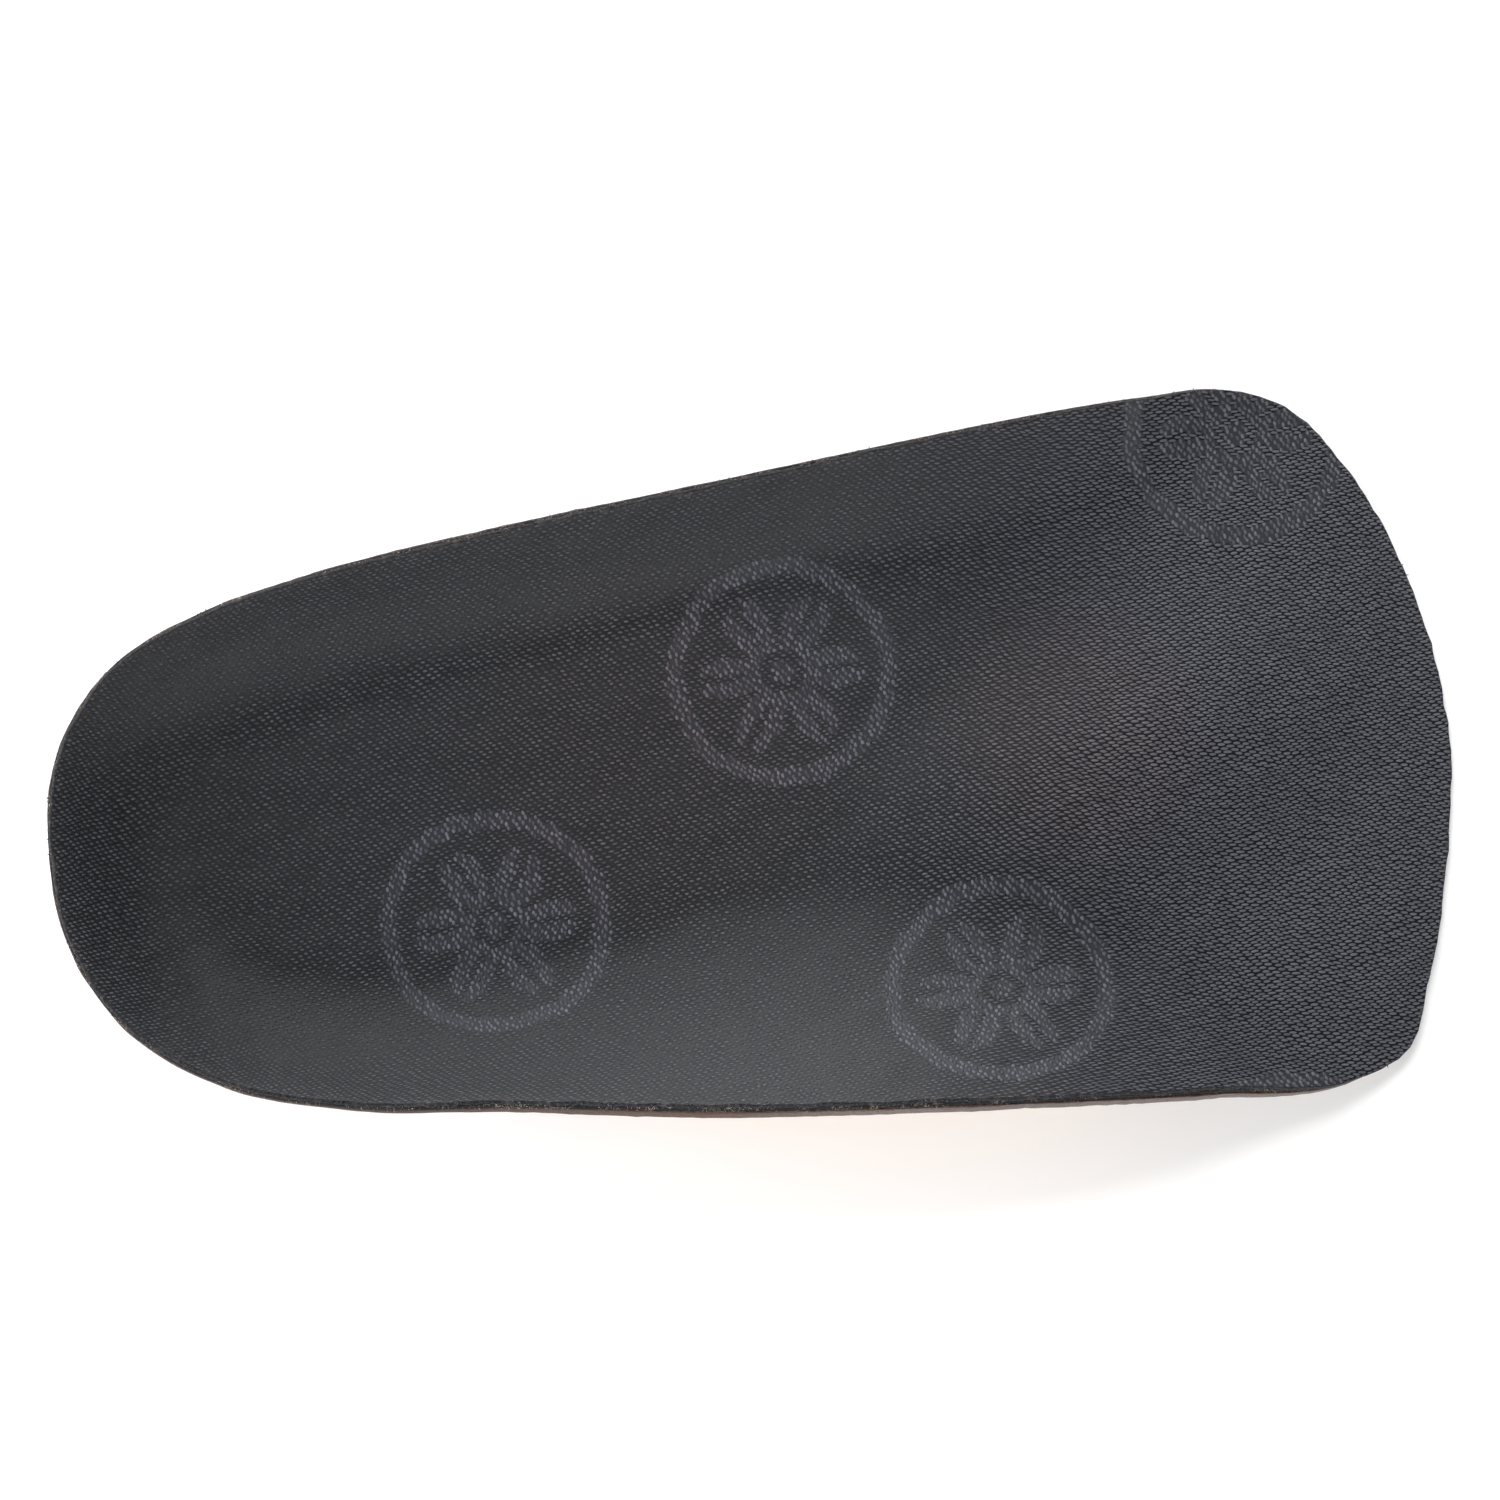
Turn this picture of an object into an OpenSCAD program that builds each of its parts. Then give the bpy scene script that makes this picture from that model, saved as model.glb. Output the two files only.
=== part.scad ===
// Three-quarter-length moulded foot orthosis for a left foot, built as glued layers.
// +X points from the heel to the toes, -Y is the arch side, +Z is up.
// The origin is the centre of the heel on the plane that the orthosis rests on.

/* [Overall size] */
// Length from the back of the heel to the front edge (mm)
body_l = 177; // [150:1:205]
// Width across the front, just behind the toe joints (mm)
front_w = 89; // [76:1:102]
// Width across the heel (mm)
heel_w = 66; // [56:1:76]

/* [Foot shape] */
// Height of the heel cup floor above the resting plane (mm)
heel_h = 8; // [7.5:0.5:10]
// Depth of the heel cup below its rim (mm)
cup_depth = 9.5; // [6:0.5:13]
// Height of the arch flange above the middle of the foot bed (mm)
arch_h = 14.5; // [9:0.5:18]
// Height of the outer flange above the middle of the foot bed (mm)
outer_h = 12; // [10:0.5:14]
// Height of the dome behind the toe joints (mm)
dome_h = 3.8; // [2:0.2:5]

/* [Layers] */
// Thickness of the woven top cover (mm)
cover_t = 0.6; // [0.4:0.1:0.8]
// Thickness of the cushion layer away from the rim (mm)
foam_t = 1.4; // [1:0.1:1.8]
// Thickness of the stiff shell (mm)
shell_t = 1.6; // [1.2:0.1:2]
// Thickness of the leather base cover away from the rim (mm)
base_t = 0.9; // [0.7:0.1:1.2]
// Thickness of the shock pad under the heel (mm)
heel_pad_t = 1; // [0.6:0.1:1.2]
// Thickness of the grip sheet under the heel post (mm)
grip_t = 0.8; // [0.5:0.1:1]

/* [Hidden] */
// Where the front of the moulded heel ends and the front fan of the surface starts
heel_mid = [2, 0];
dome_mid = [98, 2];

// Rings from the rim (0) to the middle line of the foot bed (1)
ring = [0, 0.05, 0.12, 0.2, 0.3, 0.42, 0.55, 0.7, 0.85, 1];
K = len(ring) - 1;

// Steps round the heel, along each side and round the front
heel_n = 24;
side_n = 24;
front_n = 28;
S = heel_n + front_n + 2 * side_n;

// Rim anchors: heel from the arch side, outer side, front, arch side
rim = [
  [2, -33.3], [-13, -28.9], [-24, -21], [-30, -10.5], [-31.6, 1],
  [-29.4, 14], [-22.5, 23.1], [-11, 28.7], [2, 31.8],
  [28, 35.6], [58, 39], [88, 43.1], [112, 46.3],
  [120.2, 47.2], [128, 45.2], [136, 36.4], [142.5, 20.5], [145.2, 0],
  [142.7, -17], [138.7, -31.3], [135, -39.3], [127.5, -42.2], [112, -42.2],
  [84, -41.5], [50, -39.1], [22, -35.5]
];
rim_n = len(rim);

// Heights of the arch rim, the outer rim and the middle of the bed along the foot
cup = heel_h + cup_depth;
bed = [[-32, heel_h], [0, heel_h], [25, heel_h + 0.4], [50, 9], [75, 8.9], [100, 6.6],
       [120, 5.1], [135, 3.1], [146, 1.55]];
arch_rim = [[-32, cup], [0, cup + 2], [25, 7.5 + arch_h], [50, 10 + arch_h], [70, 10.5 + arch_h],
            [90, 7 + arch_h], [107, 15], [120, 8], [132, 3], [142, 1.5]];
outer_rim = [[-32, cup], [0, cup + 2], [30, 8.5 + outer_h], [60, 8 + outer_h],
             [90, 4 + outer_h], [105, outer_h], [120, 6.5], [132, 3], [142, 1.5]];

// Widths of the sloping bands inside the two rims
arch_band = [[-32, 17], [0, 17], [30, 20], [60, 29], [90, 29], [115, 20], [142, 12]];
outer_band = [[-32, 17], [0, 17], [30, 16], [60, 15], [90, 16], [110, 14], [142, 9]];

kx = body_l / 177;

function mix(a, b, t) = a + (b - a) * t;
function clip(t) = min(1, max(0, t));
function ease(t) = let (c = clip(t)) c * c * (3 - 2 * c);
function unit(v) = v / norm(v);

// Smooth curve through the [x, value] pairs of a list
function cell(T, x, i = 0) = (i >= len(T) - 2 || x < T[i + 1][0]) ? i : cell(T, x, i + 1);
function tilt(T, i) =
  (i < 1 || i > len(T) - 2) ? 0 : (T[i + 1][1] - T[i - 1][1]) / (T[i + 1][0] - T[i - 1][0]);
function curve(T, x) =
  let (i = cell(T, x), h = T[i + 1][0] - T[i][0], t = clip((x - T[i][0]) / h))
  T[i][1] * (1 + 2 * t) * pow(1 - t, 2) + T[i + 1][1] * (3 - 2 * t) * t * t
  + h * (tilt(T, i) * t * pow(1 - t, 2) - tilt(T, i + 1) * (1 - t) * t * t);

// Smooth closed rim through the anchors, in plan
function sized(p) =
  [p[0] * kx, p[1] * mix(heel_w / 66, front_w / 89, clip(p[0] / 112))];
function anchor(i) = sized(rim[(i + rim_n) % rim_n]);
function gap(i) = norm(anchor(i + 1) - anchor(i));
function heading(i) =
  let (a = gap(i - 1), b = gap(i))
  ((anchor(i + 1) - anchor(i)) * a / b + (anchor(i) - anchor(i - 1)) * b / a) / (a + b);
function rim_at(i, t) =
  anchor(i) * (1 + 2 * t) * pow(1 - t, 2) + anchor(i + 1) * (3 - 2 * t) * t * t
  + gap(i) * (heading(i) * t * pow(1 - t, 2) - heading(i + 1) * (1 - t) * t * t);
function run(i0, i1) =
  concat([for (i = [i0:i1 - 1]) for (t = [0:7]) rim_at(i, t / 8)], [anchor(i1)]);
function reach(p) =
  [for (i = 0, s = 0; i < len(p); i = i + 1, s = s + (i < len(p) ? norm(p[i] - p[i - 1]) : 0)) s];
function even(p, n) =
  let (c = reach(p), m = len(p) - 1,
       px = [for (i = [0:m]) [c[i], p[i][0]]],
       py = [for (i = [0:m]) [c[i], p[i][1]]])
  [for (k = [0:n - 1]) [lookup(c[m] * k / n, px), lookup(c[m] * k / n, py)]];

edge = concat(even(run(0, 8), heel_n), even(run(8, 12), side_n),
              even(run(12, 22), front_n), even(run(22, 26), side_n));

// Step on the middle line, 0 at the heel to side_n at the dome, for station s
function step(s) =
  s <= heel_n ? 0
  : s <= heel_n + side_n ? s - heel_n
  : s <= heel_n + side_n + front_n ? side_n
  : S - s;
function mid(s) =
  let (t = step(s) / side_n) [kx * mix(heel_mid[0], dome_mid[0], t), mix(heel_mid[1], dome_mid[1], t)];

// 0 on the arch side, 1 on the outer side
function outer(s) =
  s < heel_n ? ease(s / heel_n)
  : s <= heel_n + side_n ? 1
  : s < heel_n + side_n + front_n ? 1 - ease((s - heel_n - side_n) / front_n)
  : 0;

// Foot bed without its rims: a smooth mound, turned by an angle, with half lengths and half widths
// on its low and high sides; the bed has one behind the toe joints and a shallow hollow beside it
function mound(p, at, turn, along, across) =
  let (d = p - at,
       u = d[0] * cos(turn) + d[1] * sin(turn),
       v = d[1] * cos(turn) - d[0] * sin(turn),
       a = u / along[u < 0 ? 0 : 1],
       b = v / across[v < 0 ? 0 : 1])
  pow(1 - min(1, a * a + b * b), 2);
function bed_z(x, y) =
  let (p = [x / kx, y])
  curve(bed, p[0])
  + dome_h * mound(p, [104, 3], 22, [44, 38], [26, 21])
  - 1.1 * mound(p, [90, 29], 16, [30, 30], [13, 13]);

// Share of the rim height left at distance d from the rim
function wall(d, s) =
  let (x = edge[s][0] / kx, o = outer(s),
       w = mix(curve(arch_band, x), curve(outer_band, x), o),
       t = clip(d / w),
       flare = o * ease((x - 5) / 35),
       power = mix(2.2, 1.7, (1 - o) * ease((x - 5) / 35)))
  mix(pow(1 - t, power), 1 - ease(t), 0.25 * flare);
function rim_z(s) =
  let (x = edge[s][0] / kx) mix(curve(arch_rim, x), curve(outer_rim, x), outer(s));

span = [for (s = [0:S - 1]) norm(edge[s] - mid(s))];
lift = [for (s = [0:S - 1]) rim_z(s) - bed_z(edge[s][0], edge[s][1])];

// The upper surface as a net of points, ring by ring
top = [for (k = [0:K]) [for (s = [0:S - 1])
  let (p = mix(edge[s], mid(s), ring[k]))
  [p[0], p[1], bed_z(p[0], p[1]) + lift[s] * wall(ring[k] * span[s], s)]]];

// Upward normals of the upper surface
function bed_n(p) =
  unit([(bed_z(p[0] - 1, p[1]) - bed_z(p[0] + 1, p[1])) / 2,
        (bed_z(p[0], p[1] - 1) - bed_z(p[0], p[1] + 1)) / 2, 1]);
up = [for (k = [0:K]) [for (s = [0:S - 1])
  k == K ? bed_n(top[k][s])
  : unit(cross(top[k + 1][s] - top[max(0, k - 1)][s],
               top[k][(s + 1) % S] - top[k][(s + S - 1) % S]))]];

// Layer thicknesses at ring k and station s
function inset(k, s) = ring[k] * span[s];
function foam_at(k, s) = mix(0.5, foam_t, ease(inset(k, s) / 12));
function base_at(k, s) =
  let (x = edge[s][0] / kx, m = (1 - outer(s)) * ease((x + 5) / 40) * (1 - ease((x - 118) / 18)))
  mix(mix(0.4, base_t - 0.05, m), base_t, ease(inset(k, s) / 10));
function shell_at(k, s) =
  shell_t * clip((ring[k] - 0.05 - 0.3 * ease((edge[s][0] / kx - 105) / 15)) / 0.15);
function dome_pad_at(k, s) =
  0.98 * dome_h * ease((ring[k] - 0.3) / 0.7) * ease((step(s) - 10) / 11);
function heel_pad_at(k, s) =
  heel_pad_t * clip((ring[k] - 0.2) / 0.15) * clip((7 - step(s)) / 2);

// Depth below the upper surface of the underside of each layer
function depth(n, k, s) =
  (n > 0 ? cover_t : 0) + (n > 1 ? foam_at(k, s) : 0)
  + (n > 2 ? dome_pad_at(k, s) + heel_pad_at(k, s) : 0)
  + (n > 3 ? shell_at(k, s) : 0) + (n > 4 ? base_at(k, s) : 0);
function sheet(n) =
  [for (k = [0:K]) [for (s = [0:S - 1]) top[k][s] - up[k][s] * depth(n, k, s)]];

// A solid between two nets of points, closed where their distance falls to nothing
function flat_list(net, k1) = [for (k = [0:k1]) for (s = [0:S - 1]) net[k][s]];
function home(k, s) =
  k < K ? k * S + s
  : K * S + (step(s) == 0 ? 0 : step(s) == side_n ? heel_n + side_n : min(s, heel_n + step(s)));
function vert(thick, low, k, s) =
  home(k, s) + ((low && thick[k][s] > 0.001) ? (K + 1) * S : 0);
function whole(f) = f[0] != f[1] && f[1] != f[2] && f[0] != f[2];

module slab(net_a, net_b, thick, k0 = 0, k1 = K, s0 = 0, s1 = S) {
  full = s1 - s0 == S;
  cells = [for (k = [k0:k1 - 1]) for (s = [s0:s1 - 1])
    for (t = [[[k, s], [k + 1, s], [k + 1, s + 1]], [[k, s], [k + 1, s + 1], [k, s + 1]]])
    [for (c = t) [c[0], c[1] % S]]];
  used = [for (t = cells)
    if (max([for (c = t) thick[c[0]][c[1]]]) > 0.001) t];
  skin_a = [for (t = used) [for (c = t) vert(thick, false, c[0], c[1])]];
  skin_b = [for (t = used) [for (i = [2:-1:0]) vert(thick, true, t[i][0], t[i][1])]];
  ring_pairs = concat(
    [for (s = [s0:s1 - 1]) [[k0, s % S], [k0, (s + 1) % S]]],
    k1 == K ? [] : [for (s = [s0:s1 - 1]) [[k1, (s + 1) % S], [k1, s % S]]],
    full ? [] : [for (k = [k0:k1 - 1]) [[k + 1, s0 % S], [k, s0 % S]]],
    full ? [] : [for (k = [k0:k1 - 1]) [[k, s1 % S], [k + 1, s1 % S]]]);
  sides = [for (e = ring_pairs)
    let (a = vert(thick, false, e[0][0], e[0][1]), b = vert(thick, false, e[1][0], e[1][1]),
         c = vert(thick, true, e[1][0], e[1][1]), d = vert(thick, true, e[0][0], e[0][1]))
    for (f = [[a, b, c], [a, c, d]]) f];
  polyhedron(concat(flat_list(net_a, K), flat_list(net_b, K)),
             [for (f = concat(skin_a, skin_b, sides)) if (whole(f)) f], convexity = 8);
}

module layer(n) {
  a = sheet(n - 1);
  b = sheet(n);
  slab(a, b, [for (k = [0:K]) [for (s = [0:S - 1]) depth(n, k, s) - depth(n - 1, k, s)]]);
}

// Woven cover that the foot rests on
module top_cover() {
  color([0.2, 0.2, 0.21]) layer(1);
}

// Soft foam between the cover and the stiff parts
module cushion_layer() {
  color([0.1, 0.1, 0.11]) layer(2);
}

// Dome-shaped pad behind the toe joints
module metatarsal_pad() {
  a = sheet(2);
  t = [for (k = [0:K]) [for (s = [0:S - 1]) dome_pad_at(k, s)]];
  b = sheet(3);
  color([0.75, 0.62, 0.42]) slab(a, b, t, 1);
}

// Thin shock-absorbing pad in the heel cup
module heel_pad() {
  a = sheet(2);
  t = [for (k = [0:K]) [for (s = [0:S - 1]) heel_pad_at(k, s)]];
  b = sheet(3);
  color([0.2, 0.4, 0.62]) slab(a, b, t, 1);
}

// Stiff shell that carries the arch and the heel cup
module arch_shell() {
  color([0.85, 0.84, 0.8]) layer(4);
}

// Leather cover on the underside
module base_cover() {
  color([0.47, 0.33, 0.24]) layer(5);
}

// First and last station of the filler under the arch, and its clearance above the floor
fill_s0 = heel_n + side_n + front_n + 2;
fill_s1 = S - 7;
fill_gap = 0.6;

// Cork wedge under the arch
module arch_filler() {
  a = sheet(5);
  share = [for (s = [0:S - 1]) pow(max(0, sin(180 * clip((s - fill_s0) / (fill_s1 - fill_s0)))), 0.4)];
  b = [for (k = [0:K]) [for (s = [0:S - 1])
    let (p = a[k][s], h = share[s] * (p[2] - fill_gap)) [p[0], p[1] + 0.28 * h, p[2] - h]]];
  t = [for (k = [0:K]) [for (s = [0:S - 1]) share[s]]];
  color([0.72, 0.53, 0.34]) slab(a, b, t, 2, 6, fill_s0, fill_s1);
}

// Stations and rings that the heel post covers
post_k = 3;
post_step = 6;
post_taper = 0.96;
post_net = sheet(5);
post_foot = concat(
  [for (s = [S - post_step:S - 1]) post_net[post_k][s]],
  [for (s = [0:heel_n + post_step]) post_net[post_k][s]]);

// Foam post that the heel stands on
module heel_post() {
  b = [for (k = [0:K]) [for (s = [0:S - 1])
    let (p = post_net[k][s]) [p[0] * post_taper, p[1] * post_taper, grip_t]]];
  t = [for (k = [0:K]) [for (s = [0:S - 1]) 1]];
  color([0.24, 0.24, 0.26])
    slab(post_net, b, t, post_k, K, S - post_step, S + heel_n + post_step);
}

// Grip sheet glued under the heel post
module heel_grip() {
  color([0.12, 0.12, 0.12])
    linear_extrude(height = grip_t)
      polygon([for (p = post_foot) [p[0] * post_taper * 0.97, p[1] * post_taper * 0.97]]);
}

top_cover();
cushion_layer();
metatarsal_pad();
heel_pad();
arch_shell();
base_cover();
arch_filler();
heel_post();
heel_grip();
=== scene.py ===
"""Three-quarter-length foot orthosis for a left foot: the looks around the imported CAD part."""

import math

import bpy
import numpy as np
from mathutils import Matrix, Vector


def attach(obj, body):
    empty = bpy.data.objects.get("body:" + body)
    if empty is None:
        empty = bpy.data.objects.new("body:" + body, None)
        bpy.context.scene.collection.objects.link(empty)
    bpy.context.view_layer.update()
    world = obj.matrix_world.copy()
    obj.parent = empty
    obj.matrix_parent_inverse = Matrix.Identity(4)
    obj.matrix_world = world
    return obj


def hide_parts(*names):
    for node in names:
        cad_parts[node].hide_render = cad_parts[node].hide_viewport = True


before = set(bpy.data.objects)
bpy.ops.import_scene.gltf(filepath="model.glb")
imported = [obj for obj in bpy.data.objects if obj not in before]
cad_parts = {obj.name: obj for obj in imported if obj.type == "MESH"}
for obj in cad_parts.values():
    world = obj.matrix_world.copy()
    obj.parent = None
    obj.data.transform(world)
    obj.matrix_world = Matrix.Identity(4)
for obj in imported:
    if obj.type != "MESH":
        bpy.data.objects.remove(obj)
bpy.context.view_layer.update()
MM = 0.001

# ---------------------------------------------------------------- shape, in millimetres
# These numbers are the same as in part.scad. x runs to the toes and y to the outer side.
# RIM is the outline. The other tables give a height or a wall's width at each x.
HEEL_MID, DOME_MID = np.array([2.0, 0.0]), np.array([98.0, 2.0])
RIM = np.array([
    (2, -33.3), (-13, -28.9), (-24, -21), (-30, -10.5), (-31.6, 1),
    (-29.4, 14), (-22.5, 23.1), (-11, 28.7), (2, 31.8),
    (28, 35.6), (58, 39), (88, 43.1), (112, 46.3),
    (120.2, 47.2), (128, 45.2), (136, 36.4), (142.5, 20.5), (145.2, 0),
    (142.7, -17), (138.7, -31.3), (135, -39.3), (127.5, -42.2), (112, -42.2),
    (84, -41.5), (50, -39.1), (22, -35.5)], float)
HEEL_H, CUP_DEPTH, ARCH_H, OUTER_H, DOME_H = 8.0, 9.5, 14.5, 12.0, 3.8
COVER_T, FOAM_T, SHELL_T, BASE_T, HEEL_PAD_T, GRIP_T = 0.6, 1.4, 1.6, 0.9, 1.0, 0.8
FOAM_RIM_T, BASE_RIM_T = 0.5, 0.4
CUP = HEEL_H + CUP_DEPTH
BED = [(-32, HEEL_H), (0, HEEL_H), (25, HEEL_H + 0.4), (50, 9), (75, 8.9), (100, 6.6),
       (120, 5.1), (135, 3.1), (146, 1.55)]
ARCH_RIM = [(-32, CUP), (0, CUP + 2), (25, 7.5 + ARCH_H), (50, 10 + ARCH_H), (70, 10.5 + ARCH_H),
            (90, 7 + ARCH_H), (107, 15), (120, 8), (132, 3), (142, 1.5)]
OUTER_RIM = [(-32, CUP), (0, CUP + 2), (30, 8.5 + OUTER_H), (60, 8 + OUTER_H), (90, 4 + OUTER_H),
             (105, OUTER_H), (120, 6.5), (132, 3), (142, 1.5)]
ARCH_BAND = [(-32, 17), (0, 17), (30, 20), (60, 29), (90, 29), (115, 20), (142, 12)]
OUTER_BAND = [(-32, 17), (0, 17), (30, 16), (60, 15), (90, 16), (110, 14), (142, 9)]
# Rings run from the rim (0) to the middle line (1). The counts are stations along each side.
RINGS = [0, 0.05, 0.12, 0.2, 0.3, 0.42, 0.55, 0.7, 0.85, 1]
HEEL_N, SIDE_N, FRONT_N = 24, 24, 28
CURVE_STEPS = 24  # points on the outline between two points of RIM


def mix(a, b, t):
    return a + (b - a) * t


def clip(t):
    return np.clip(t, 0, 1)


def ease(t):
    t = clip(t)
    return t * t * (3 - 2 * t)


def curve(table, x):
    """Smooth curve through (x, value) pairs."""
    k = np.array(table, float)
    x = np.asarray(x, float)
    slope = np.zeros(len(k))
    slope[1:-1] = (k[2:, 1] - k[:-2, 1]) / (k[2:, 0] - k[:-2, 0])
    i = np.clip(np.searchsorted(k[:, 0], x, side="right") - 1, 0, len(k) - 2)
    h = k[i + 1, 0] - k[i, 0]
    t = clip((x - k[i, 0]) / h)
    return (k[i, 1] * (1 + 2 * t) * (1 - t) ** 2 + k[i + 1, 1] * (3 - 2 * t) * t * t
            + h * (slope[i] * t * (1 - t) ** 2 - slope[i + 1] * (1 - t) * t * t))


def mound(x, y, at, turn, along, across):
    """Smooth swelling, turned by an angle in degrees, with a half size on each side."""
    c, s = math.cos(math.radians(turn)), math.sin(math.radians(turn))
    u = (x - at[0]) * c + (y - at[1]) * s
    v = (y - at[1]) * c - (x - at[0]) * s
    u = u / np.where(u < 0, along[0], along[1])
    v = v / np.where(v < 0, across[0], across[1])
    return (1 - np.minimum(1, u * u + v * v)) ** 2


def bed_z(x, y):
    """Height of the foot bed: its long curve, the dome and a shallow hollow beside it."""
    return (curve(BED, x) + DOME_H * mound(x, y, (104, 3), 22, (44, 38), (26, 21))
            - 1.1 * mound(x, y, (90, 29), 16, (30, 30), (13, 13)))


class Net:
    """The layered body as a net of points: rings from the rim in, stations round it."""

    def __init__(self, around, across):
        self.m = around
        hn, sn, fn = HEEL_N * around, SIDE_N * around, FRONT_N * around
        self.S = S = hn + fn + 2 * sn
        fine = [mix(a, b, i / across) for a, b in zip(RINGS, RINGS[1:]) for i in range(across)]
        self.ring = np.array(fine + [1.0])
        self.K = len(self.ring) - 1
        P, n = RIM, len(RIM)
        gap = np.linalg.norm(np.roll(P, -1, 0) - P, axis=1)
        a, b = np.roll(gap, 1)[:, None], gap[:, None]
        head = ((np.roll(P, -1, 0) - P) * a / b + (P - np.roll(P, 1, 0)) * b / a) / (a + b)

        def run(i0, i1, count):
            t = np.arange(CURVE_STEPS)[:, None] / CURVE_STEPS
            pts = []
            for i in range(i0, i1):
                j = (i + 1) % n
                pts.append(P[i] * (1 + 2 * t) * (1 - t) ** 2 + P[j] * (3 - 2 * t) * t * t
                           + gap[i] * (head[i] * t * (1 - t) ** 2 - head[j] * (1 - t) * t * t))
            pts = np.vstack(pts + [P[i1 % n][None]])
            c = np.r_[0, np.cumsum(np.linalg.norm(np.diff(pts, axis=0), axis=1))]
            q = c[-1] * np.arange(count) / count
            return np.c_[np.interp(q, c, pts[:, 0]), np.interp(q, c, pts[:, 1])]

        self.edge = np.vstack([run(0, 8, hn), run(8, 12, sn), run(12, 22, fn), run(22, 26, sn)])
        s = np.arange(S)
        self.step = np.select([s <= hn, s <= hn + sn, s <= hn + sn + fn],
                              [0, s - hn, sn], S - s) / around
        self.home = np.select([s <= hn, s <= hn + sn, s <= hn + sn + fn],
                              [0, s, hn + sn], hn + S - s)
        self.mid = mix(HEEL_MID, DOME_MID, self.step[:, None] / SIDE_N)
        self.outer = np.select([s < hn, s <= hn + sn, s < hn + sn + fn],
                               [ease(s / hn), 1.0, 1 - ease((s - hn - sn) / fn)], 0.0)
        self.span = np.linalg.norm(self.edge - self.mid, axis=1)
        r = self.ring[:, None]
        self.inset = r * self.span[None]
        xy = mix(self.edge[None], self.mid[None], r[..., None])
        x, o = self.edge[:, 0], self.outer
        rim = mix(curve(ARCH_RIM, x), curve(OUTER_RIM, x), o)
        lift = rim - bed_z(x, self.edge[:, 1])
        z = bed_z(xy[..., 0], xy[..., 1]) + lift[None] * self.wall()
        self.top = np.concatenate([xy, z[..., None]], 2)
        self.up = self.normals()
        arc = np.linalg.norm(np.diff(self.top, axis=0), axis=2)
        arc = np.vstack([np.cumsum(arc[::-1], axis=0)[::-1], np.zeros((1, S))])
        heading = (self.edge - self.mid) / self.span[:, None]
        self.cloth = self.mid[None] + heading[None] * arc[..., None]

    def normals(self):
        T = self.top
        dk = np.empty_like(T)
        dk[1:-1], dk[0], dk[-1] = T[2:] - T[:-2], T[1] - T[0], T[-1] - T[-2]
        n = np.cross(dk, np.roll(T, -1, 1) - np.roll(T, 1, 1))
        x, y = T[-1, :, 0], T[-1, :, 1]
        n[-1] = np.c_[(bed_z(x - 1, y) - bed_z(x + 1, y)) / 2,
                      (bed_z(x, y - 1) - bed_z(x, y + 1)) / 2, np.ones(self.S)]
        return n / np.linalg.norm(n, axis=2, keepdims=True)

    def wall(self):
        """Share of the rim's height left at each point."""
        x, o = self.edge[:, 0], self.outer
        t = clip(self.inset / mix(curve(ARCH_BAND, x), curve(OUTER_BAND, x), o)[None])
        g = ease((x - 5) / 35)
        power = mix(2.2, 1.7, (1 - o) * g)
        return mix((1 - t) ** power[None], 1 - ease(t), 0.25 * (o * g)[None])

    def depth(self, n):
        """Distance from the upper surface to the underside of layer n."""
        x, r = self.edge[:, 0], self.ring[:, None]
        medial = (1 - self.outer) * ease((x + 5) / 40) * (1 - ease((x - 118) / 18))
        front = ease((x - 105) / 15)[None]
        layers = [
            np.full_like(self.inset, COVER_T),
            mix(FOAM_RIM_T, FOAM_T, ease(self.inset / 12)),
            self.dome_pad() + self.heel_pad(),
            SHELL_T * clip((r - 0.05 - 0.3 * front) / 0.15),
            mix(mix(BASE_RIM_T, BASE_T - 0.05, medial)[None], BASE_T, ease(self.inset / 10))]
        return sum(layers[:n], np.zeros_like(self.inset))

    def dome_pad(self):
        """Thickness of the dome pad: it fills the swelling that the bed has above it."""
        return (0.98 * DOME_H * ease((self.ring[:, None] - 0.3) / 0.7)
                * ease((self.step[None] - 10) / 11))

    def heel_pad(self):
        """Thickness of the shock pad under the heel."""
        return (HEEL_PAD_T * clip((self.ring[:, None] - 0.2) / 0.15)
                * clip((7 - self.step[None]) / 2))

    def sheet(self, n, extra=0.0):
        """Underside of layer n, moved down further by extra."""
        return self.top - self.up * (self.depth(n) + extra)[..., None]

    def outward(self):
        """Directions that lead out of the surface at the rim."""
        o = self.top[0] - self.top[1]
        return o / np.linalg.norm(o, axis=1, keepdims=True)


def ripple(x, seed, size):
    """Smooth random values, about -1 to 1, over numbers or over points in a plane."""
    g = np.random.default_rng(seed)
    x = np.asarray(x, float)
    total = 0
    for _ in range(7):
        f, p = g.uniform(0.6, 1.8) / size, g.uniform(0, 2 * math.pi)
        if x.ndim and x.shape[-1] == 2:
            a = g.uniform(0, math.pi)
            q = x[..., 0] * math.cos(a) + x[..., 1] * math.sin(a)
        else:
            q = x
        total = total + np.sin(2 * math.pi * f * q + p)
    return total / 2.6


# ---------------------------------------------------------------- mesh helpers
def new_mesh(name, verts_mm, faces, attrs=None):
    me = bpy.data.meshes.new(name)
    me.from_pydata((np.asarray(verts_mm) * MM).tolist(), [], faces)
    me.update()
    for key, values in (attrs or {}).items():
        a = me.attributes.new(key, "FLOAT_VECTOR", "POINT")
        a.data.foreach_set("vector", np.asarray(values, np.float32).ravel())
    me.polygons.foreach_set("use_smooth", [True] * len(me.polygons))
    ob = bpy.data.objects.new(name, me)
    bpy.context.scene.collection.objects.link(ob)
    return ob


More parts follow.
